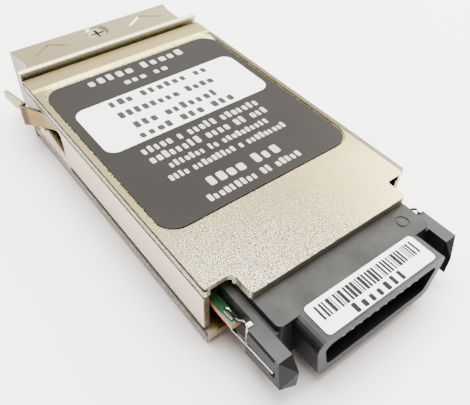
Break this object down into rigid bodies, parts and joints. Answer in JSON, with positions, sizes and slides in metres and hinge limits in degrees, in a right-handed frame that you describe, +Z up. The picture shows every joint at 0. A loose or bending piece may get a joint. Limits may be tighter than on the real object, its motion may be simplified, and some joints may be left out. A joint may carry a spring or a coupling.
{
  "type": "optical transceiver module",
  "caption": "Pluggable duplex SC optical transceiver in a nickel-plated case, with squeeze latches at the sides and an edge-type host connector at the rear.",
  "frame": {"origin": "bottom centre of the whole module's bounding box, so it is level with the flange's lowest edge", "axes": "+Y towards the optical ports, -Y towards the host connector, +Z up through the labelled cover, +X to the right with the optical ports ahead"},
  "size_m": [0.035, 0.0646, 0.0115],
  "materials": {
    "nickel_sheet": "bright nickel plate with a grained finish",
    "nickel_casting": "satin nickel plate",
    "steel": "bright zinc plate",
    "spring_steel": "rolled spring sheet",
    "port_plastic": "moulded, satin",
    "clip_plastic": "moulded, natural colour",
    "zirconia": "polished ceramic",
    "gold_plate": "plated, satin",
    "solder_mask": "green lacquer on glass fibre laminate",
    "chip_epoxy": "moulded epoxy",
    "trimmer_case": "moulded",
    "capacitor_case": "moulded epoxy",
    "ferrite": "fired, dull",
    "black_plastic": "glass-filled moulding, satin",
    "label_print": "printed film",
    "label_paper": "coated paper"
  },
  "bodies": {
    "module": {"top_cover": "nickel_sheet", "bottom_cover": "nickel_sheet", "chassis": "nickel_casting", "bezel_screw": "steel", "sc_receptacle": "port_plastic", "optics_clamp": "steel", "circuit_board": "solder_mask", "transmitter_optics": "gold_plate", "receiver_optics": "gold_plate", "laser_driver_chip": "chip_epoxy", "post_amplifier_chip": "chip_epoxy", "memory_chip": "chip_epoxy", "trimmer_bias": "trimmer_case", "trimmer_modulation": "trimmer_case", "tantalum_capacitor_left": "capacitor_case", "tantalum_capacitor_right": "capacitor_case", "choke_left": "ferrite", "choke_right": "ferrite", "connector_body": "black_plastic", "product_label": "label_print", "barcode_label": "label_paper", "contact_upper_01": "gold_plate", "contact_upper_02": "gold_plate", "contact_upper_03": "gold_plate", "contact_upper_04": "gold_plate", "contact_upper_05": "gold_plate", "contact_upper_06": "gold_plate", "contact_upper_07": "gold_plate", "contact_upper_08": "gold_plate", "contact_upper_09": "gold_plate", "contact_upper_10": "gold_plate", "contact_lower_01": "gold_plate", "contact_lower_02": "gold_plate", "contact_lower_03": "gold_plate", "contact_lower_04": "gold_plate", "contact_lower_05": "gold_plate", "contact_lower_06": "gold_plate", "contact_lower_07": "gold_plate", "contact_lower_08": "gold_plate", "contact_lower_09": "gold_plate", "contact_lower_10": "gold_plate", "sc_clip_left": "clip_plastic", "ferrule_sleeve_left": "zirconia", "ground_strip_left": "steel", "ground_wire_left": "steel", "latch_pin_left": "steel", "sc_clip_right": "clip_plastic", "ferrule_sleeve_right": "zirconia", "ground_strip_right": "steel", "ground_wire_right": "steel", "latch_pin_right": "steel"},
    "left_latch": {"latch_left": "spring_steel"},
    "right_latch": {"latch_right": "spring_steel"}
  },
  "joints": [
    {"name": "left_latch_squeeze", "type": "hinge", "parent": "module", "child": "left_latch", "pos_m": [-0.0135, 0.0121, 0.00665], "axis": [0, 0, -1], "range_deg": [0, 10.5], "stiffness_Nm_per_rad": 0.3},
    {"name": "right_latch_squeeze", "type": "hinge", "parent": "module", "child": "right_latch", "pos_m": [0.0135, 0.0121, 0.00665], "axis": [0, 0, 1], "range_deg": [0, 10.5], "stiffness_Nm_per_rad": 0.3}
  ]
}
